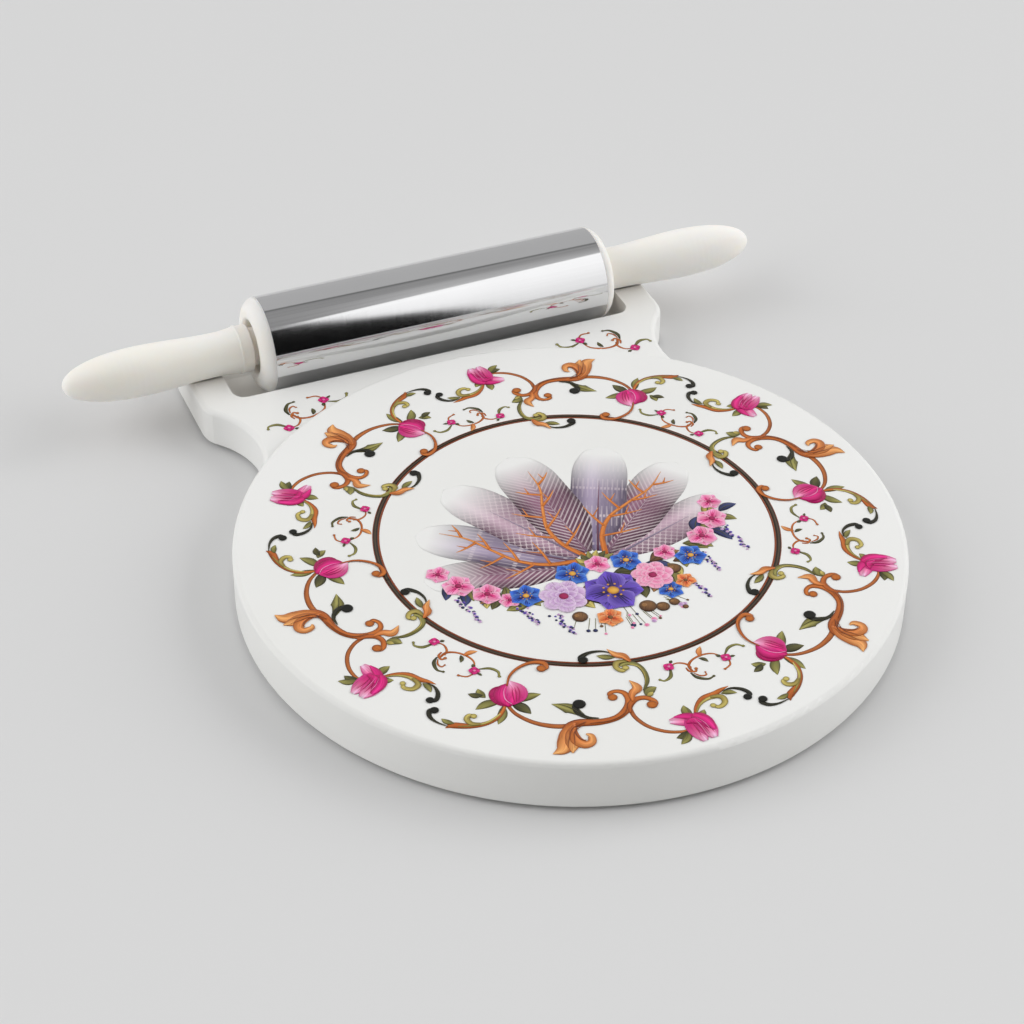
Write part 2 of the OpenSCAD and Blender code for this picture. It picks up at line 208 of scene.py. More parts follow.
def printed_ink(w):
    """A stroke's own ink, deeper along its brush marks and paler between them."""
    ink = w.node("Attribute", {"attribute_name": "ink"}, out="Color")
    marks = brush_marks(w)
    wash = w.noise(260, 3)
    deep = marks.smooth(0.5, 0.78) * 0.6
    pale = (1 - marks).smooth(0.5, 0.8) * 0.22 + wash.smooth(0.5, 0.8) * 0.1
    darken = {"data_type": "RGBA", "blend_type": "MULTIPLY"}
    lighten = {"data_type": "RGBA", "blend_type": "SOFT_LIGHT"}
    ink = deep.node("Mix", darken, {0: deep, 6: ink, 7: rgb(128, 104, 92)}, out=2)
    return {
        "Base Color": pale.node("Mix", lighten, {0: pale, 6: ink, 7: rgb(255, 250, 236)}, out=2),
        "Roughness": 0.26 + 0.1 * w.noise(40, 4),
    }


def printed_feather(w):
    """A feather's ground with barbs, a net, or threads and bands, as the stroke's third value says."""
    ink = w.node("Attribute", {"attribute_name": "ink"}, out="Color")
    show = w.node("Attribute", {"attribute_name": "ink"}, out="Alpha")
    mark = w.node("Attribute", {"attribute_name": "stroke"}, out="Vector")
    along, side, kind = [w.node("SeparateXYZ", None, {0: mark}, out=k) for k in range(3)]
    half = side.math("ABSOLUTE", side)

    def wave(value):
        return value.math("SINE", value)

    barbs = wave((along - half * 1.1) * 2.3).smooth(0.0, 0.9)
    rows = wave((along + side) * 0.95) * wave((along - side) * 0.95)
    net = rows.math("ABSOLUTE", rows).smooth(0.3, 0.12)
    threads = wave(side * 3.0).smooth(0.3, 0.95) * wave(along * 0.33).smooth(-0.7, -0.5)
    bands = wave(along * 0.33).smooth(0.93, 0.99)
    bands = bands.math("MAXIMUM", threads * 0.6, bands * wave(side * 4.2).smooth(-0.6, 0.0))
    is_net = kind.smooth(0.3, 0.36)
    is_band = kind.smooth(0.63, 0.7)
    pattern = is_net * net + (1 - is_net) * barbs
    pattern = is_band * bands + (1 - is_band) * pattern
    light = pattern * 0.62 * show + brush_marks(w).smooth(0.45, 0.8) * 0.16
    return {
        "Base Color": light.between(ink, rgb(234, 220, 222)),
        "Roughness": 0.26 + 0.1 * w.noise(40, 4),
    }


CREAM_DEPTH = {"Subsurface Weight": 0.6, "Subsurface Radius": (1.0, 0.85, 0.7), "Subsurface Scale": 0.007}
FINISHES = {
    "glossy_white_moulding": ({"IOR": 1.5}, white_moulding, ["board_shell"]),
    "matte_white_moulding": ({"IOR": 1.5}, matte_moulding, ["base_cover"]),
    "glossy_cream_moulding": ({"IOR": 1.5, **CREAM_DEPTH}, cream_moulding,
                              ["left_cap", "right_cap", "left_handle", "right_handle"]),
    "polished_steel_tube": ({"Metallic": 1.0}, polished_tube, ["roller_tube"]),
    "drawn_steel_rod": ({"Metallic": 1.0}, drawn_rod, ["axle_rod"]),
    "zinc_plated_steel": ({"Metallic": 1.0}, zinc_plate, ["base_screws", "bush_clips"]),
    "natural_nylon": ({"IOR": 1.52}, natural_nylon, ["left_bush", "right_bush"]),
    "black_rubber": ({"IOR": 1.5}, black_rubber, ["rubber_feet"]),
}
for name, (constants, build, wearers) in FINISHES.items():
    material = finish(name, constants, build)
    for wearer in wearers:
        for place in nodes[wearer].material_slots:
            place.material = material
INK = finish("printed_ink", {"IOR": 1.36}, printed_ink)
FEATHER_INK = finish("printed_feather_ink", {"IOR": 1.36}, printed_feather)


# Print: flat shapes, each a grid of points (u along it, v across it)

# Inks: root, tip, edge and, in some, the power by which root turns into tip
RUST = (rgb(152, 82, 36), rgb(176, 100, 44), rgb(98, 48, 20))
AMBER = (rgb(164, 82, 28), rgb(192, 108, 42), rgb(116, 54, 18))
FLAME = (rgb(184, 98, 38), rgb(228, 160, 96), rgb(164, 86, 34))
OLIVE = (rgb(90, 88, 44), rgb(150, 144, 78), rgb(64, 62, 32))
MOSS = (rgb(46, 46, 26), rgb(96, 92, 50), rgb(38, 38, 22))
STRAW = (rgb(132, 116, 54), rgb(202, 186, 104), rgb(104, 90, 40))
COAL = (rgb(64, 60, 34), rgb(20, 20, 12), rgb(14, 14, 8), 0.5)
BUD = (rgb(184, 14, 98), rgb(214, 38, 130), rgb(158, 8, 80))
BLUSH = (rgb(200, 20, 112), rgb(244, 190, 216), rgb(208, 56, 136), 3.2)
VEIN = (rgb(112, 54, 24), rgb(140, 76, 36), rgb(110, 52, 24))
PETAL_SHADE = (rgb(150, 8, 72), rgb(196, 24, 106), rgb(160, 10, 80))
PETAL_FOLD = (rgb(222, 96, 158), rgb(244, 178, 208), rgb(216, 80, 146))
GOLD = (rgb(190, 104, 38), rgb(222, 146, 74), rgb(176, 92, 34))
BLUE = (rgb(14, 30, 104), rgb(44, 98, 204), rgb(92, 146, 228))
VIOLET = (rgb(40, 20, 86), rgb(96, 68, 180), rgb(134, 110, 210))
LILAC = (rgb(142, 86, 152), rgb(208, 170, 216), rgb(236, 214, 238))
PINK = (rgb(212, 50, 122), rgb(244, 150, 190), rgb(250, 200, 220))
WINE = (rgb(150, 24, 76), rgb(180, 50, 104), rgb(116, 16, 58))
NAVY = (rgb(30, 34, 70), rgb(62, 72, 120), rgb(24, 26, 54))
BROWN = (rgb(92, 60, 38), rgb(150, 108, 66), rgb(60, 38, 24))
CORAL = (rgb(196, 74, 34), rgb(238, 142, 80), rgb(244, 178, 122))
SUN = (rgb(224, 158, 52), rgb(240, 190, 90), rgb(146, 84, 34))
PLUMES = (
    (rgb(84, 44, 66), rgb(140, 98, 120), rgb(50, 24, 40)),
    (rgb(126, 92, 112), rgb(190, 166, 178), rgb(84, 54, 74)),
    (rgb(94, 82, 110), rgb(170, 156, 176), rgb(62, 48, 72)),
)
PLUME_TIP = rgb(237, 237, 235)
RING_DARK, RING_GLEAM, RING_BROWN = rgb(38, 28, 18), rgb(78, 62, 44), rgb(134, 64, 30)

HAIR = 0.36  # a stroke with no more than this half width, in mm, has only its edges and its middle
LEAST_HALF_WIDTH = 0.04
LEAF_SWELL = (0.12, 0.8, 1.0, 0.72, 0.04)  # a leaf's half widths from base to tip, as parts of its width


def curve(points, per):
    """Smooth line through points: each span is a cubic whose end slopes are half its neighbours' chords."""
    p = np.asarray(points, float)
    p = np.vstack([2 * p[:1] - p[1:2], p, 2 * p[-1:] - p[-2:-1]])
    a, b, c, d = (p[i:len(p) - 3 + i, None] for i in range(4))
    t = np.linspace(0, 1, per, endpoint=False)[None, :, None]
    q = 2 * b + (c - a) * t + (2 * a - 5 * b + 4 * c - d) * t ** 2 + (3 * b - a - 3 * c + d) * t ** 3
    return np.vstack([q.reshape(-1, p.shape[1]) / 2, p[-2]])


def tint(inks, u, v):
    """Colour from root to tip along a power of u, darker to both edges and lighter beside the middle."""
    root, tip, edge = (np.array(c) for c in inks[:3])
    power = inks[3] if len(inks) > 3 else 1.0
    body = root + (tip - root) * (u ** power)[:, None, None]
    gleam = (body * 1.55 + 0.012).clip(0, 1)
    body = body + (gleam - body) * np.exp(-((v - 0.3) / 0.3) ** 2)[None, :, None]
    return body + (edge - body) * (0.9 * np.abs(v) ** 2.4)[None, :, None]


def stroke(points, widths, inks, lift=0, per=5, across=5, kind=0.0):
    """Brush stroke: a smooth line widened by its normal times half widths; a pair gives left and right."""
    line = curve(points, per)
    u = np.linspace(0, 1, len(line))
    half = curve([pair if isinstance(pair, tuple) else (pair, pair) for pair in widths], 8)
    at = np.linspace(0, 1, len(half))
    half = np.stack([np.interp(u, at, half[:, k]) for k in (0, 1)], 1).clip(LEAST_HALF_WIDTH)
    along = np.gradient(line, axis=0)
    along /= np.linalg.norm(along, axis=1, keepdims=True)
    normal = np.stack([-along[:, 1], along[:, 0]], 1)
    v = np.linspace(-1, 1, across if half.max() > HAIR else 3)
    reach = np.where(v[None] > 0, half[:, :1], half[:, 1:]) * v[None]
    xy = line[:, None] + reach[..., None] * normal[:, None]
    length = np.concatenate([[0], np.cumsum(np.linalg.norm(np.diff(line, axis=0), axis=1))])
    mark = np.stack([np.broadcast_to(length[:, None], reach.shape), reach, np.full_like(reach, kind)], -1)
    return {"xy": xy, "ink": tint(inks, u, v), "mark": mark, "lift": lift}


def leaf(base, tip, width, inks, bend=0.0, lift=1, across=5):
    """Leaf or petal: a stroke from base to tip, bowed sideways by bend and widest before its middle."""
    base, tip = np.array(base, float), np.array(tip, float)
    side = np.array([-(tip - base)[1], (tip - base)[0]])
    middle = (base + tip) / 2 + bend * side
    return stroke([base, middle, tip], [part * width for part in LEAF_SWELL], inks, lift, 6, across)


def dot(centre, radii, inks, turn=0.0, lift=2, n=7):
    """Oval: a square grid drawn out to a disc, x by the root of 1 - y*y/2 and y by that of 1 - x*x/2."""
    radii = np.broadcast_to(np.asarray(radii, float), (2,))
    u = np.linspace(-1, 1, n)
    a, b = np.meshgrid(u, u, indexing="ij")
    x = a * np.sqrt(1 - b * b / 2) * radii[0]
    y = b * np.sqrt(1 - a * a / 2) * radii[1]
    turn = math.radians(turn)
    xy = np.stack([centre[0] + x * math.cos(turn) - y * math.sin(turn),
                   centre[1] + x * math.sin(turn) + y * math.cos(turn)], -1)
    root, tip, edge = (np.array(c) for c in inks[:3])
    r = np.sqrt(((x / radii[0]) ** 2 + (y / radii[1]) ** 2).clip(0, 1))[..., None]
    body = root + (tip - root) * ((a + 1) / 2)[..., None]
    mark = np.stack([x, y, np.zeros_like(x)], -1)
    return {"xy": xy, "ink": body + (edge - body) * 0.85 * r ** 3, "mark": mark, "lift": lift}


def volute(points, widths, ball, inks, lift=1):
    """Scroll: a stroke that ends in a ball."""
    _, tip, edge = inks[:3]
    return [stroke(points, widths, inks, lift), dot(points[-1], ball, (tip, tip, edge), lift=lift + 0.5)]


def moved(shapes, turn, about, scale=1.0, shift=(0, 0), hand=1):
    """Copies of shapes, scaled, mirrored where hand is -1, turned about a point and then shifted."""
    c, s = math.cos(math.radians(turn)), math.sin(math.radians(turn))
    spin = np.array([[hand, 0], [0, 1]]) @ np.array([[c, s], [-s, c]]) * scale
    about, shift = np.array(about, float), np.array(shift, float)
    return [{"xy": ((shape["xy"] - about) @ spin + about + shift)[:, ::hand],
             "ink": shape["ink"][:, ::hand],
             "mark": shape["mark"][:, ::hand],
             "lift": shape["lift"]} for shape in shapes]


# Border, ring and sprays

def scroll_unit():
    """One sixth of the border: bud, tendril, stems, two scrolls, leaves, side bloom and paired commas."""
    return [
        # Stem from the round bud to the scrolls, and the acanthus that it wraps
        stroke([(-64.6, -88), (-63.2, -95), (-58.5, -102), (-51.5, -106.8), (-44, -108.6)],
               [0.7, 0.9, 1.1, 1.3, 1.0], RUST, 0),
        *volute([(-52, -112), (-48.5, -108.6), (-43.5, -108), (-36.5, -110.3), (-29.5, -110.6), (-24, -107.8),
                 (-21, -103.4), (-20.9, -99), (-23.3, -96.8), (-26.2, -97.2), (-26, -99.6)],
                [0.3, 1.6, 2.1, 1.7, 1.5, 1.7, 1.5, 1.2, 1.0, 1.0, 0.9], 1.9, AMBER),
        *volute([(-23.5, -110), (-21.8, -106.3), (-18.6, -103.9), (-15, -104.2), (-12.6, -106.8), (-12.6, -109),
                 (-14, -109)], [0.5, 1.2, 1.3, 1.2, 1.2, 1.1, 0.9], 2.1, AMBER),
        stroke([(-45, -107.4), (-49.8, -110.4), (-52.8, -115), (-55.4, -118.8), (-59.4, -120.2)],
               [0.6, (3.0, 1.8), (3.8, 2.4), (3.4, 1.8), 0.1], FLAME, 1.5, across=7),
        stroke([(-45.6, -108.5), (-48.6, -112.6), (-50, -117.6), (-52.4, -122.4)],
               [0.6, (2.6, 2.2), (2.8, 3.0), 0.3], FLAME, 1.7, across=7),
        stroke([(-47.4, -110.6), (-48.4, -116.4), (-46.4, -120), (-43.4, -119.6), (-42.3, -116.4), (-43.6, -114.6)],
               [(1.4, 1.2), (2.4, 2.2), (2.3, 1.9), (1.8, 1.6), 1.3, 0.3], FLAME, 1.9, across=7),
        stroke([(-44.6, -109.4), (-47, -113), (-46.4, -117), (-44.4, -118)], [0.12, 0.28, 0.26, 0.06], VEIN, 3),
        stroke([(-41, -108.6), (-46.8, -110), (-50, -114), (-53, -119.4)], [0.15, 0.22, 0.2, 0.06], VEIN, 3),
        stroke([(-42, -109.6), (-47, -112), (-48.8, -116), (-50.6, -120.4)], [0.12, 0.2, 0.16, 0.05], VEIN, 3),
        stroke([(-40, -110), (-32, -111.4), (-25.6, -109.6), (-22.2, -104.6)], [0.1, 0.22, 0.2, 0.08], VEIN, 3),
        # Leaf and comma above the stem
        stroke([(-39.4, -107), (-41.8, -102.4), (-43.4, -98.6), (-48.8, -94.4)],
               [0.3, (1.5, 1.8), (3.5, 2.2), 0.1], OLIVE, 0.8, across=7),
        stroke([(-40.4, -105), (-43, -99.4), (-46.8, -95.2)], [0.1, 0.2, 0.06], MOSS, 2),
        *volute([(-35.5, -108.4), (-39.5, -106.3), (-41.6, -102.6), (-41.2, -99.4), (-39.2, -98.4)],
                [0.2, 0.8, 1.1, 1.3, 1.6], 2.5, COAL, 1.2),
        # Flame leaf and small leaf between the scrolls
        stroke([(-19.8, -104.6), (-18.2, -100.8), (-15.4, -98), (-16.2, -93)],
               [0.5, (1.8, 1.2), (1.6, 2.2), 0.1], FLAME, 1.6, across=7),
        leaf((-14, -103.2), (-8.2, -100.4), 2.1, OLIVE, 0.1, 1),
        leaf((-13.6, -104), (-10.6, -102.6), 1.2, STRAW, 0.0, 1.2),
        # Stem to the side bloom
        stroke([(-22.6, -107.6), (-22.8, -113), (-20.6, -119.2), (-16, -124.2), (-10.6, -126.8), (-6, -127)],
               [0.9, 0.9, 0.9, 0.9, 0.8, 0.5], RUST, 0),
        # Rounded bud with leaves and tendril
        leaf((-66, -86), (-76.6, -86.8), 2.1, OLIVE, -0.08, 0.5),
        leaf((-66, -88.6), (-71.8, -97.6), 1.9, OLIVE, 0.06, 0.5),
        leaf((-62.5, -88), (-58, -96.6), 2.4, MOSS, 0.05, 0.5),
        leaf((-60, -88.6), (-50.2, -87.6), 2.0, OLIVE, 0.08, 0.5),
        leaf((-70.6, -82), (-71.4, -76.2), 1.7, OLIVE, 0.1, 0.5),
        leaf((-71, -80.4), (-76, -77.6), 1.5, MOSS, 0.1, 0.6),
        dot((-63.9, -83.8), (5.3, 6.2), BUD, 20, 1),
        leaf((-64.2, -90), (-57.4, -77.6), 5.4, BUD, 0.1, 1.4, 9),
        leaf((-62.6, -89.6), (-58.6, -76.4), 4.3, BLUSH, -0.16, 1.8, 9),
        stroke([(-60.4, -78.4), (-62.9, -81.6), (-64, -86), (-62.6, -89.6)], [0.08, 0.24, 0.24, 0.06],
               PETAL_FOLD, 2.2),
        *[stroke([(-61.8 + 0.9 * k, -88.6), (-60.8 + 1.4 * k, -84), (-59.6 + 1.1 * k, -80.6)], [0.08, 0.26, 0.04],
                 PETAL_SHADE, 2.3) for k in (0.4, 1.4, 2.4)],
        *[stroke([(-65 - 0.8 * k, -88.4), (-66 - 0.9 * k, -84.6), (-65 - 0.6 * k, -80.6)], [0.06, 0.24, 0.04],
                 PETAL_SHADE, 1.2) for k in (0, 1.6)],
        *volute([(-60.6, -79), (-57.2, -73.8), (-52, -70.6), (-46.4, -69.8), (-42.4, -71.8), (-42.6, -74.6),
                 (-44.4, -74.4)], [0.3, 0.55, 0.7, 0.9, 1.2, 1.1, 0.9], 1.9, AMBER, 2.4),
        # Side bloom with leaves
        leaf((-3.2, -121), (-3.4, -113.8), 1.9, OLIVE, 0.08, 0.5),
        leaf((-1.6, -122), (3, -119), 1.6, OLIVE, -0.1, 0.5),
        leaf((-7, -127.6), (-13.6, -129.4), 1.9, MOSS, 0.12, 0.5),
        leaf((-7.6, -128), (-13.4, -133.2), 1.7, OLIVE, 0.1, 0.6),
        stroke([(-1.6, -124), (-5.8, -121.8), (-12, -120.2)], [2.2, 3.2, 3.4, 2.8, 1.2], BLUSH, 1.1, across=9),
        stroke([(-1.2, -122.6), (-5, -119.8), (-9.6, -118.6)], [1.5, 2.0, 1.8, 1.2, 0.3], BUD, 1.3),
        stroke([(-4.4, -121.6), (-4.8, -128), (-4.2, -135)], [2.2, 3.4, 3.4, 2.8, 1.1], BLUSH, 1.5, across=9),
        stroke([(-2.2, -120.8), (-0.6, -127.6), (-0.2, -134.6)], [2.2, 3.7, 3.9, 3.2, 1.3], BLUSH, 1.7, across=9),
        stroke([(-2.8, -120.4), (0.4, -124.4), (1.8, -130.8)], [1.8, 2.8, 2.8, 2.2, 0.6], BUD, 1.9, across=9),
        stroke([(-6.8, -123.4), (-3.6, -123.2), (-1, -125.4)], [0.4, 1.5, 1.8, 0.3], BUD, 2.1),
        *[stroke([(-5 + k, -122.6), (-4.4 + 1.7 * k, -127.4), (-4.6 + 2 * k, -132)], [0.06, 0.24, 0.04],
                 PETAL_SHADE, 2.6) for k in (0, 0.9, 1.8, 2.7)],
        *[stroke([(-3.2 + k, -122), (-2.4 + 1.5 * k, -126), (-2.2 + 1.7 * k, -130)], [0.04, 0.14, 0.03],
                 PETAL_FOLD, 2.7) for k in (0, 1.4)],
        # Straw scroll from the bloom to its comma
        stroke([(-2, -121.4), (1, -116.6), (5.4, -113.4), (10.4, -112.2), (14, -111.2), (17.2, -110.6)],
               [0.6, 1.0, (1.6, 0.7), (1.1, 1.6), (0.8, 0.9), 0.1], AMBER, 0.6),
        stroke([(-1.6, -121), (2.2, -116.4), (6.6, -114.2), (11, -114.4)], [0.3, 0.5, 0.8, 0.9], STRAW, 1),
        *volute([(8, -113.6), (12, -115), (12, -118.4), (9, -120), (7, -118.4)], [0.7, 1.3, 1.2, 1.0, 0.8], 1.2,
                STRAW, 1.2),
        leaf((12.8, -113.4), (18.6, -115.4), 1.3, OLIVE, 0.1, 1.1),
        *volute([(13.6, -112.4), (17.6, -112.2), (21.2, -114.4), (22.8, -117.6), (21.2, -119.2)],
                [0.15, 0.5, 0.9, 1.0, 1.2], 1.7, COAL, 1.4),
        # The next sixth's comma and scroll, which rise to its bud
        *volute([(35.6, -126.4), (30.6, -127.2), (26.8, -126.4), (24.8, -124), (26, -122.6)],
                [0.15, 0.5, 0.9, 1.1, 1.2], 1.8, COAL, 1.4),
        stroke([(35.4, -127.6), (36.6, -124.6), (41.6, -121), (45.4, -116.6), (47, -111.6), (46.4, -107),
                (45, -103.4)], [0.1, (1.5, 1.7), (1.2, 1.5), 1.1, 0.9, 0.8, 0.6], AMBER, 0.6),
        stroke([(38.6, -124), (43.2, -119.4), (46, -114.4), (46.6, -108.4)], [0.2, 0.5, 0.6, 0.3], STRAW, 1),
        *volute([(44.4, -117.4), (41.6, -119.6), (38.6, -118.8), (38, -116.6), (39.6, -115.9)],
                [0.6, 1.1, 1.2, 1.0, 0.9], 1.3, STRAW, 1.2),
        leaf((36.4, -123.6), (31, -124.6), 1.3, OLIVE, 0.1, 1.1),
        # Olive stem from the scrolls to the ring, gold knot and inner comma
        stroke([(-13.4, -100.4), (-10, -96), (-8.7, -90.6), (-9.6, -85.8), (-13, -83.4), (-16, -84)],
               [0.4, 0.9, 1.0, 1.1, 1.2, 0.6], OLIVE, 0.8),
        stroke([(-11.6, -98), (-9.4, -92.6), (-9.4, -87.4), (-12.6, -84.2)], [0.1, 0.3, 0.35, 0.1], STRAW, 1.6),
        *volute([(-12, -82.4), (-16, -81.8), (-17.6, -84.4), (-16.2, -87), (-14.4, -86)],
                [0.5, 1.3, 1.2, 1.1, 0.9], 1.4, STRAW, 1.8),
        stroke([(-11.2, -83.4), (-12.6, -79.6), (-14.8, -77), (-16.6, -73.2)],
               [0.5, (1.4, 1.9), (1.7, 1.1), 0.1], FLAME, 3.4, across=7),
        leaf((-15.6, -78.6), (-21.8, -75.2), 1.5, OLIVE, 0.05, 1.2),
        *volute([(-15.6, -76.2), (-19, -73.4), (-23.6, -72.5), (-27.6, -73.8), (-27.6, -75.6)],
                [0.15, 0.5, 0.8, 1.2, 1.5], 2.0, COAL, 1.4),
    ]


def small_flower(x, y):
    """Four petals, 2.3 mm long, about a pale eye."""
    r = 2.3
    petals = [leaf((x, y), (x + r * math.cos(a), y + r * math.sin(a)), 0.62 * r, BUD, 0, 2)
              for a in np.radians([35, 125, 215, 305])]
    return [*petals, dot((x, y), 0.3 * r, BLUSH, lift=3, n=5)]


def sprig():
    """Little spray that repeats the border's curls with two small flowers."""
    return [
        stroke([(1.6, -91.4), (5, -90.8), (8, -92.6), (9, -95.4)], [0.25, 0.4, 0.5, 0.4], AMBER, 0),
        *volute([(8.4, -97.6), (8.6, -93.8), (11.6, -91.2), (16, -90.2), (20, -91), (23, -94)],
                [0.5, 0.6, 0.5, 0.5, 0.4, 0.25], 0.4, AMBER, 0),
        *volute([(7, -94.6), (7.4, -97), (9.6, -98), (10.4, -96.6)], [0.3, 0.5, 0.5, 0.4], 0.7, AMBER, 0.4),
        leaf((15, -91), (17.6, -85.4), 1.2, FLAME, 0.1, 0.6),
        leaf((14, -91.4), (16.6, -94.8), 0.9, MOSS, 0.1, 0.6),
        *volute([(1, -93.6), (-0.6, -97), (-3.6, -98.4), (-5.2, -97.2)], [0.5, 0.8, 0.5, 0.4], 0.6, OLIVE, 0.4),
        *volute([(7.4, -98), (8.6, -101.4), (12, -103.8), (14.8, -103.2)], [0.3, 0.8, 0.6, 0.35], 0.6, MOSS, 0.4),
        *volute([(8.4, -98.6), (10.2, -101), (12.4, -101.4), (12.8, -99.8)], [0.2, 0.4, 0.35, 0.25], 0.4, AMBER, 0.5),
        *volute([(24.4, -93.4), (27.4, -90.4), (31, -89.9), (33.2, -91.8)], [0.3, 0.7, 0.6, 0.4], 0.7, OLIVE, 0.4),
        *volute([(24.6, -96.4), (23.6, -99.6), (20.6, -101.2)], [0.3, 0.4, 0.35], 0.6, AMBER, 0.4),
        leaf((2.4, -90), (3.8, -88.6), 0.7, MOSS, 0, 0.8),
        leaf((22.4, -94), (20.8, -92.4), 0.8, MOSS, 0, 0.8),
        leaf((25.4, -95.4), (27.8, -95.6), 0.6, MOSS, 0, 0.8),
        *small_flower(1, -91.8),
        *small_flower(23.8, -95.4),
    ]


RING = (2.7, -0.6)  # the printed ring's centre, from the disc's
RING_R = 83.3
RING_STEPS = 240


def ring_band(radius, half, shade, lift):
    """Closed band about the ring's centre: the cosine and sine of its bearing times its radii."""
    a = np.linspace(0, 2 * math.pi, RING_STEPS + 1)[:, None]
    r = radius + half * np.linspace(-1, 1, 3)
    xy = np.stack([RING[0] + np.cos(a) * -r, RING[1] + np.sin(a) * r], -1)
    mark = np.zeros((*xy.shape[:2], 3))
    ink = np.broadcast_to(np.array(shade), (*xy.shape[:2], 4))
    return {"xy": xy, "ink": ink, "mark": mark, "lift": lift}


DRIFT_FROM, DRIFT_SPAN = 78, 40  # mm out from the ring's centre


def drift(shapes):
    """Lets the border lie as unevenly as it was printed. Each point moves inwards and swings sideways by a
    base amount, plus shares of the cosine (east) and sine (north) of its bearing, which grow outwards."""
    drifted = []
    for shape in shapes:
        away = shape["xy"] - RING
        radius = np.linalg.norm(away, axis=-1)
        east, north = (away / radius[..., None]).transpose(2, 0, 1)
        far = ((radius - DRIFT_FROM) / DRIFT_SPAN).clip(0)
        inward = 0.43 + 1.67 * far + (0.48 + 1.92 * far) * north + 0.85 * far * east
        swing = (1.6 + 0.4 * far) * east - (0.6 + 0.25 * far) * north
        move = np.stack([-inward * east - swing * north, swing * east - inward * north], -1)
        drifted.append({**shape, "xy": shape["xy"] + move})
    return drifted


FILM = 0.012  # the print's thickness, in mm like the next two
RANK_STEP, STACK = 0.004, 0.4  # from one shape's height to the next one's, and the most for all of them


def point_values(mesh, name, kind, field, rows):
    """One value at each of a mesh's points, such as its ink."""
    mesh.attributes.new(name, kind, "POINT").data.foreach_set(field, np.vstack(rows).astype(np.float32).ravel())


def lay(name, shapes, top, material, clear=0.03):
    """Makes one film of the shapes: sorted by lift, each lies a hair above the last and rises along its length."""
    points, quads, inks, marks, start = [], [], [], [], 0
    shapes = sorted(shapes, key=lambda shape: shape["lift"])
    step = min(RANK_STEP, STACK / len(shapes))
    for rank, shape in enumerate(shapes):
        n, m = shape["xy"].shape[:2]
        z = top + clear + step * (rank + 0.7 * np.linspace(0, 1, n))[:, None, None] + np.zeros((n, m, 1))
        xy = shape["xy"] + np.array([0, DISC_Y])
        points.append(np.concatenate([xy, z], -1).reshape(-1, 3) * MM)
        inks.append(shape["ink"].reshape(-1, 4))
        marks.append(shape["mark"].reshape(-1, 3) + (0, 0, 0 if material is FEATHER_INK else rank))
        k = start + np.arange(n * m).reshape(n, m)
        quads.append(np.stack([k[:-1, :-1], k[1:, :-1], k[1:, 1:], k[:-1, 1:]], -1).reshape(-1, 4))
        start += n * m
    mesh = bpy.data.meshes.new(name)
    mesh.from_pydata(np.vstack(points), [], np.vstack(quads))
    point_values(mesh, "ink", "FLOAT_COLOR", "color", inks)
    point_values(mesh, "stroke", "FLOAT_VECTOR", "vector", marks)
    mesh.polygons.foreach_set("use_smooth", [True] * len(mesh.polygons))
    mesh.materials.append(material)
    film = bpy.data.objects.new(name, mesh)
    bpy.context.scene.collection.objects.link(film)
    body = film.modifiers.new("film", "SOLIDIFY")
    body.thickness = FILM * MM
    body.offset = -1
    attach(film, "board")


unit = scroll_unit()
spray = sprig()
border = drift([shape for sixth in range(6) for shape in moved(unit + spray, 60 * sixth, RING)])
border += [ring_band(RING_R + 0.35, 0.95, RING_DARK, 0), ring_band(RING_R + 0.45, 0.3, RING_GLEAM, 0.1),
           ring_band(RING_R - 0.95, 0.4, RING_BROWN, 0.2), ring_band(RING_R + 1.45, 0.16, RING_BROWN, 0.2)]
lay("border_print", border, DISC_TOP, INK)

# The pin rest has the sprig twice, larger and turned, the left one mirrored
SPRIG_CENTRE = (13, -95)
REST_SCALE = 1.12
rest_sprays = []
for turn, hand, x, y in ((206, -1, -71.6, 130.4), (154, 1, 75.6, 131.2)):
    shift = (x - SPRIG_CENTRE[0], y - SPRIG_CENTRE[1])
    rest_sprays += moved(spray, turn, SPRIG_CENTRE, REST_SCALE, shift, hand)
lay("rest_print", rest_sprays, REST_TOP, INK)


# Centre print: a fan of patterned feathers over a garland of flowers. Lifts: the feathers 0 to 5, the gold
# twigs 7, stalks, leaves and spikes 9, small flowers 10 and 11, coral ones and roses 12 and 13, the middle one 14.

def feather(place, heading, length, half):
    """A feather and its quill; place is its rank from below and chooses its pattern and colours. Its half width
    swells by a sine up to 0.45 of its length, and from 0.72 of it the tip rounds off as an ellipse. Towards the
    tip it fades to white, and its pattern with it."""
    a = math.radians(heading)
    along = np.array([math.cos(a), math.sin(a)])
    side = np.array([-along[1], along[0]])
    lean = 3.0 if heading > 90 else -3.0
    points = [np.array(FAN) + along * length * t + side * lean * t * t for t in (0.12, 0.4, 0.7, 1.0)]
    widths = [half * (0.16 + 0.84 * math.sin(0.5 * math.pi * min(1, t / 0.45)))
              * math.sqrt(1 - max(0, (t - 0.72) / 0.28) ** 2) for t in np.linspace(0, 1, 21)]
    pattern = place % 3
    plume = stroke(points, widths, PLUMES[pattern], 0.8 * place, 24, 15, kind=pattern / 3 + 0.12)
    u = np.linspace(0, 1, plume["ink"].shape[0])[:, None]
    fade = ((u - 0.58) / 0.34).clip(0, 1)[..., None] ** 1.1
    ink = plume["ink"] + (np.array(PLUME_TIP) - plume["ink"]) * fade
    ink[..., 3] = (1 - fade[..., 0]) * (0.3 + 0.7 * np.abs(np.sin(6 * u)))
    quill = stroke(points[:3], [0.5, 0.4, 0.05], PLUMES[(place + 1) % 3], 0.8 * place + 0.4)
    return {**plume, "ink": ink}, quill


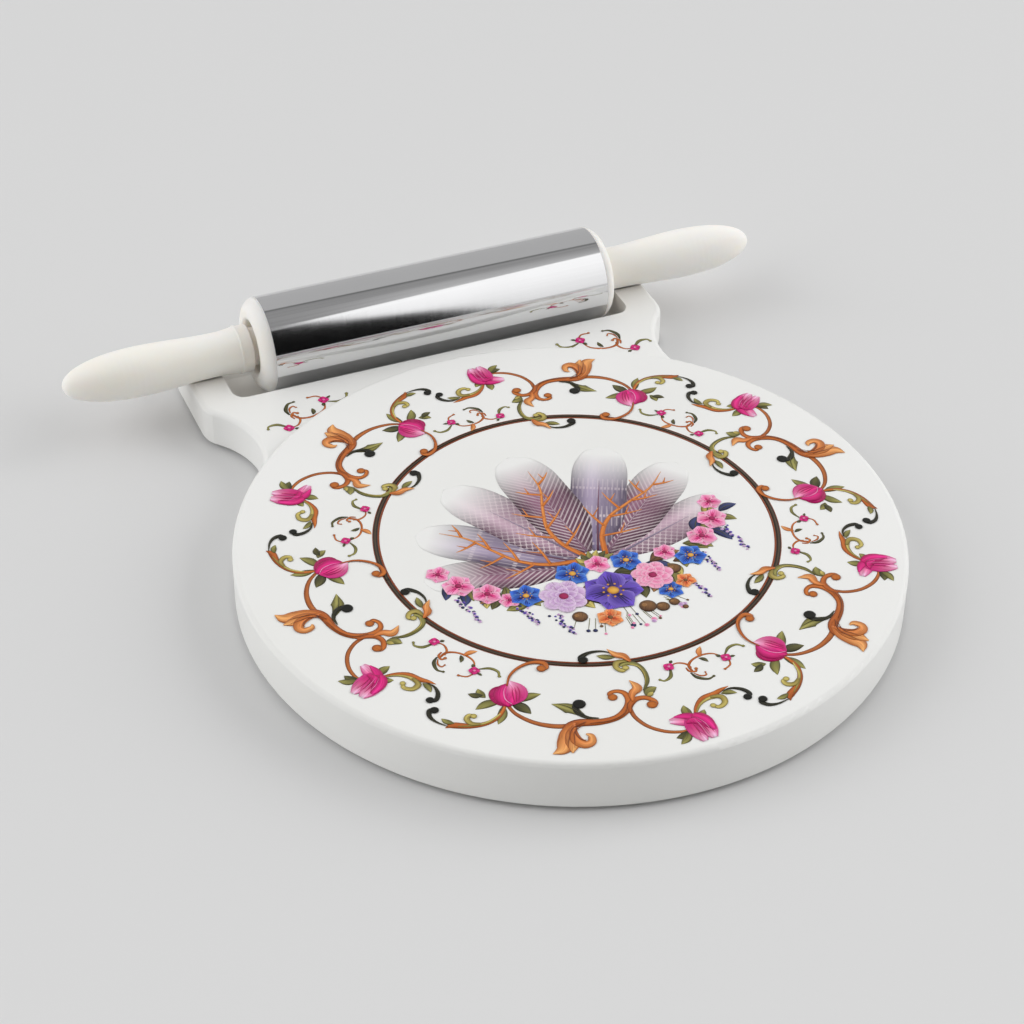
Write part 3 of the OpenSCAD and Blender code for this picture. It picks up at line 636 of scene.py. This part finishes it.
def flower(x, y, r, petals, inks, eye, lift, turn=0.0, fat=0.5, across=7):
    """Open flower: veined petals about a centre in two layers, with an eye and stamens."""
    made = []
    vein = (inks[0], inks[0], inks[0])
    for k in range(petals):
        a = math.radians(turn + 360 * k / petals)
        c, s = math.cos(a), math.sin(a)
        layer = lift + 0.4 * (k % 2)
        made.append(leaf((x, y), (x + r * c, y + r * s), fat * r, inks, 0.05 * (-1) ** k, layer, across))
        for lean in (-0.16, 0, 0.16):
            far = (x + 0.78 * r * (c - lean * s), y + 0.78 * r * (s + lean * c))
            made.append(stroke([(x, y), far], [0.05 * r, 0.035 * r, 0.008 * r], vein, layer + 0.1, 5, 3))
    made.append(dot((x, y), 0.2 * r, eye, lift=lift + 2))
    for k in range(9):
        a = 2 * math.pi * k / 9 + 0.3
        made.append(dot((x + 0.33 * r * math.cos(a), y + 0.33 * r * math.sin(a)), 0.045 * r, eye, lift=lift + 2, n=4))
    return made


def rose(x, y, r, inks, heart, lift):
    """Full rose: rings of petals that close towards a deep heart."""
    made = []
    for ring, (reach, count) in enumerate([(1.0, 7), (0.78, 6), (0.56, 5), (0.36, 4)]):
        for k in range(count):
            a = 2 * math.pi * (k + 0.5 * ring) / count
            centre = (x + 0.52 * reach * r * math.cos(a), y + 0.52 * reach * r * math.sin(a))
            radii = (0.5 * reach * r, 0.42 * reach * r)
            made.append(dot(centre, radii, inks, math.degrees(a), lift + ring + 0.1 * k))
    made.append(dot((x, y), 0.2 * r, heart, lift=lift + 5))
    return made


def garland_y(x):
    """Height of the garland's curve."""
    return -36 + 0.0066 * x * x


def spike(x, y, length):
    """Spike of small blossoms, hanging down 3 mm aslant, that narrows to its end."""
    blossoms = 26
    made = []
    for k in range(blossoms):
        t = k / (blossoms - 1)
        half = 2.6 * (1 - 0.75 * t)
        centre = (x + 3 * t + rng.uniform(-half, half), y - length * t)
        made.append(dot(centre, rng.uniform(0.45, 0.8), (NAVY, LILAC, VIOLET)[k % 3], lift=9 + 0.05 * k, n=4))
    return made


def twig(x, y, heading, length):
    """Forked gold twig: a stem bowed by a sine, with seven side shoots that get shorter and fork once."""
    a = math.radians(heading)
    along, side = np.array([math.cos(a), math.sin(a)]), np.array([-math.sin(a), math.cos(a)])
    lift = 7

    def stem(t):
        return np.array([x, y], float) + along * length * t + side * length * 0.1 * math.sin(5 * t)

    made = [stroke([stem(t) for t in np.linspace(0, 1, 6)], [1.3, 1.1, 0.9, 0.7, 0.5, 0.1], GOLD, lift)]
    for k in range(7):
        t = 0.18 + 0.11 * k
        root = stem(t)
        hand = 1 if k % 2 else -1
        reach = length * 0.24 * (1 - 0.6 * t)
        tip = root + along * reach * 0.8 + side * hand * reach
        fork = (root + tip) / 2
        made.append(stroke([root, fork + side * hand * 0.6, tip], [0.7, 0.5, 0.12], GOLD, lift))
        made.append(stroke([fork, fork + along * reach * 0.5 - side * hand * 0.3], [0.42, 0.1], GOLD, lift))
    return made


rng = np.random.default_rng(11)
FAN = (2.0, -24.0)  # where the feathers meet
feathers, twigs = [], []
for place, (heading, length, half) in enumerate(
        [(164, 72, 10), (20, 74, 10), (141, 78, 11.5), (43, 80, 11.5), (117, 82, 12), (67, 83, 12), (92, 83, 13)]):
    plume, quill = feather(place, heading, length, half)
    feathers.append(plume)
    twigs.append(quill)
for x, heading, length in ((1, 96, 64), (8, 49, 62), (-4, 146, 60)):
    twigs += twig(x, -18, heading, length)

garland = []
for x in np.linspace(-62, 64, 44):
    y = garland_y(x) + rng.uniform(-4, 5)
    shade = (OLIVE, MOSS, STRAW, BROWN, NAVY, OLIVE)[rng.integers(6)]
    a = math.atan2(x * 0.02 - 1, x * 0.02) + rng.uniform(-1.3, 1.3)
    size = rng.uniform(8, 12.5) * (1.25 if abs(x) < 26 else 1.0)
    tip = (x + size * math.cos(a), y + size * math.sin(a))
    rib_end = (x + 0.86 * size * math.cos(a + 0.05), y + 0.86 * size * math.sin(a + 0.05))
    garland.append(leaf((x, y), tip, 0.24 * size, shade, 0.12, 9))
    garland.append(leaf((x, y), rib_end, 0.22, MOSS, 0.1, 9.5))
for x, y, drop in ((-59, -22, 17), (-38, -34, 15), (-27, -46, 14), (33, -44, 15), (44, -30, 15), (61, -18, 19)):
    garland += spike(x, y, drop)
for x, y, r, turn in ((-47, -24, 6.4, 10), (-56, -15, 6.8, 30), (-61, -5, 5.2, 0), (-40, -31, 4.6, 50),
                      (50, -22, 6.6, 20), (59, -13, 6.8, 0), (63, -2, 5.2, 40), (31, -26, 5.0, 10)):
    garland += flower(x, y, r, 6, PINK, WINE, 10 + 0.02 * r, turn, 0.56)
for x, y, r, turn in ((-10, -25, 7.6, 0), (14, -25, 6.8, 20), (-33, -31, 7.0, 15), (40, -32, 6.8, 40),
                      (23, -49, 5.6, 10)):
    garland += flower(x, y, r, 6, BLUE, SUN, 11 + 0.02 * r, turn, 0.46)
BEAD_GLEAM = (BROWN[1], BROWN[1], BROWN[1])
for x, y, r in ((10, -55, 3.6), (15.5, -57.5, 2.8), (-18, -51, 3.2), (30, -37, 3.0), (21, -56.5, 2.2)):
    garland += [dot((x, y), r, BROWN, 60, 10), dot((x - 0.3 * r, y + 0.3 * r), 0.3 * r, BEAD_GLEAM, lift=10.2)]
garland += flower(2, -23, 5.6, 6, PINK, WINE, 10.5, 20, 0.56)
for k in range(7):
    a = math.radians(30 + 20 * k)
    tip = (2 + 10.5 * math.cos(a), -24 + 10.5 * math.sin(a))
    garland.append(leaf(FAN, tip, 1.9, (OLIVE, MOSS, STRAW)[k % 3], 0.1, 9.2))
garland += flower(-7, -56, 5.6, 6, CORAL, BROWN, 12, 15) + flower(31, -46, 4.6, 5, CORAL, BROWN, 12, 40)
garland += rose(-19, -37, 10.0, LILAC, WINE, 12) + rose(20, -38, 8.8, PINK, WINE, 13)
garland += flower(1, -41, 12.4, 7, VIOLET, SUN, 14, 30, 0.5, 9)
for k in range(24):
    x = rng.uniform(-24, 28)
    y = -57 - 9 * rng.uniform(0, 1) * (1 - (x / 40) ** 2)
    r = rng.uniform(0.5, 1.3)
    shade = (LILAC, NAVY, BROWN, PINK)[rng.integers(4)]
    garland.append(dot((x, y), r, shade, lift=9 + 0.02 * k, n=5))
    garland.append(stroke([(x, y), (0.8 * x, y + 7)], [0.08, 0.13, 0.13], OLIVE, 8.8))
lay("feather_print", feathers, DISC_TOP, FEATHER_INK, clear=0.018)
lay("garland_print", twigs + garland, DISC_TOP, INK, clear=0.07)


# Camera at the photograph's viewing angle

AZIMUTH, ELEVATION, ROLL = (math.radians(a) for a in (-22.9404, 37.5459, 0.5852))
LOOK_AT = Vector((-5.58, 49.10 + DISC_Y, 2.0))
DISTANCE = 1127.1
FOCAL_PIXELS, PHOTO_PIXELS = 2599, 1024  # the lens, and the photograph's width
SENSOR = 36
back = Vector((math.sin(AZIMUTH) * math.cos(ELEVATION),
               -math.cos(AZIMUTH) * math.cos(ELEVATION),
               math.sin(ELEVATION)))
level = Vector((math.cos(AZIMUTH), math.sin(AZIMUTH), 0))
rise = back.cross(level)
right = level * math.cos(ROLL) + rise * math.sin(ROLL)
up = rise * math.cos(ROLL) - level * math.sin(ROLL)
lens = bpy.data.cameras.new("camera")
lens.lens = FOCAL_PIXELS / PHOTO_PIXELS * SENSOR
lens.sensor_width = SENSOR
lens.clip_start, lens.clip_end = 0.01, 100
camera = bpy.data.objects.new("camera", lens)
facing = Matrix((right, up, back)).transposed().to_4x4()
camera.matrix_world = Matrix.Translation((LOOK_AT + back * DISTANCE) * MM) @ facing
bpy.context.scene.collection.objects.link(camera)
bpy.context.scene.camera = camera


# Floor and light

def floor_sheet(w):
    return {
        "Base Color": w.noise(0.8, 2).between(rgb(217, 217, 217), rgb(219, 219, 219)),
        "Roughness": 0.6 + 0.1 * w.noise(3, 2),
    }


FLOOR_HALF = 40.0  # metres, so that its edge is far off in a low view
FLOOR_Z = -0.0001  # a hair under the feet
gx, gy = np.meshgrid(*[np.linspace(-FLOOR_HALF, FLOOR_HALF, 5)] * 2, indexing="ij")
k = np.arange(25).reshape(5, 5)
sheet = bpy.data.meshes.new("floor")
sheet.from_pydata(np.stack([gx, gy, np.full_like(gx, FLOOR_Z)], -1).reshape(-1, 3), [],
                  np.stack([k[:-1, :-1], k[1:, :-1], k[1:, 1:], k[:-1, 1:]], -1).reshape(-1, 4))
sheet.materials.append(finish("pale_floor", {"Specular IOR Level": 0.0}, floor_sheet))
floor = bpy.data.objects.new("floor", sheet)
bpy.context.scene.collection.objects.link(floor)


def softbox(name, place, power):
    """Rectangular lamp, 6 by 4.8 m, that faces the object. It has no mirror image, which at a low angle would
    wash the print out: what shines in the surfaces is the room."""
    light = bpy.data.lights.new(name, "AREA")
    light.shape = "RECTANGLE"
    light.size, light.size_y, light.energy = 6.0, 4.8, power
    lamp = bpy.data.objects.new(name, light)
    lamp.location = place
    lamp.rotation_euler = (-Vector(place)).to_track_quat("-Z", "Y").to_euler()
    lamp.visible_glossy = False
    bpy.context.scene.collection.objects.link(lamp)


softbox("left_softbox", (-4.4, 0.7, 2.9), 146)
softbox("right_softbox", (4.6, -1.4, 2.6), 206)


def studio_room(w):
    """Light from each direction. A pale tent, dark in front, has an opening across its top, which the steel tube
    mirrors. In the opening, from back to front, are the pale back wall, a dark seam, the grey ceiling and the
    dark front wall, which carries a bright panel. There slant is how far a direction leans to the right, and
    depth and height are its place on the circle about the tube's axis."""
    dark_wall, back_wall, seam_shade = 0.004, 0.53, 0.45
    place = w.node("TexCoord", out="Generated")
    east, north, rise = [w.node("SeparateXYZ", None, {0: place}, out=k) for k in range(3)]
    across = 1 - east * east
    around = across.math("SQRT", across.math("MAXIMUM", across, 0.0001))
    slant, depth, height = [k.math("DIVIDE", k, around) for k in (east, north, rise)]
    streaks = w.node("Mapping", None, {"Vector": place, "Scale": (1.5, 26.0, 26.0)})
    streaks = w.node("TexNoise", None, {"Vector": streaks, "Scale": 1.0, "Detail": 3.0})

    ceiling = 0.24 + 0.2 * streaks + 0.24 * (-1 * depth).smooth(-0.2, 0.25) * slant.smooth(0.24, 0.32)
    seam = depth - 0.42 + 0.75 * (slant - 0.23)
    room = ceiling + (back_wall - ceiling) * seam.smooth(0, 0.05)
    room = room * (1 - seam_shade * (seam + 0.01).smooth(-0.05, 0) * (1 - (seam - 0.01).smooth(0, 0.05)))
    room = room + (dark_wall - room) * (depth + 0.5).smooth(0.03, -0.03)

    bow = slant.math("MAXIMUM", slant - 0.305, 0.0)
    panel_top = (depth + 0.45 - 1.6 * (slant - 0.23)).smooth(0.015, -0.015)
    panel_side = (height + 8.6 * (slant - 0.2888) + 260 * bow * bow).smooth(0.6, 0.69)
    panel = 0.9 + 0.36 * height + 0.2 * streaks
    room = room + (panel - room) * panel_top * panel_side

    tent = 0.66 - 0.64 * (-1 * north).smooth(-0.1, 0.5) + 0.28 * east * east
    opening = slant.smooth(0.17, 0.2) * (1 - slant.smooth(0.43, 0.47))
    return tent + (room - tent) * opening


world = bpy.data.worlds.new("studio")
world.use_nodes = True
bpy.context.scene.world = world
sky = world.node_tree.nodes["Background"]
sky.inputs["Color"].default_value = (1, 1, 1, 1)
world.node_tree.links.new(studio_room(Wire(world.node_tree)).socket, sky.inputs["Strength"])

bpy.context.scene.view_settings.view_transform = "Standard"
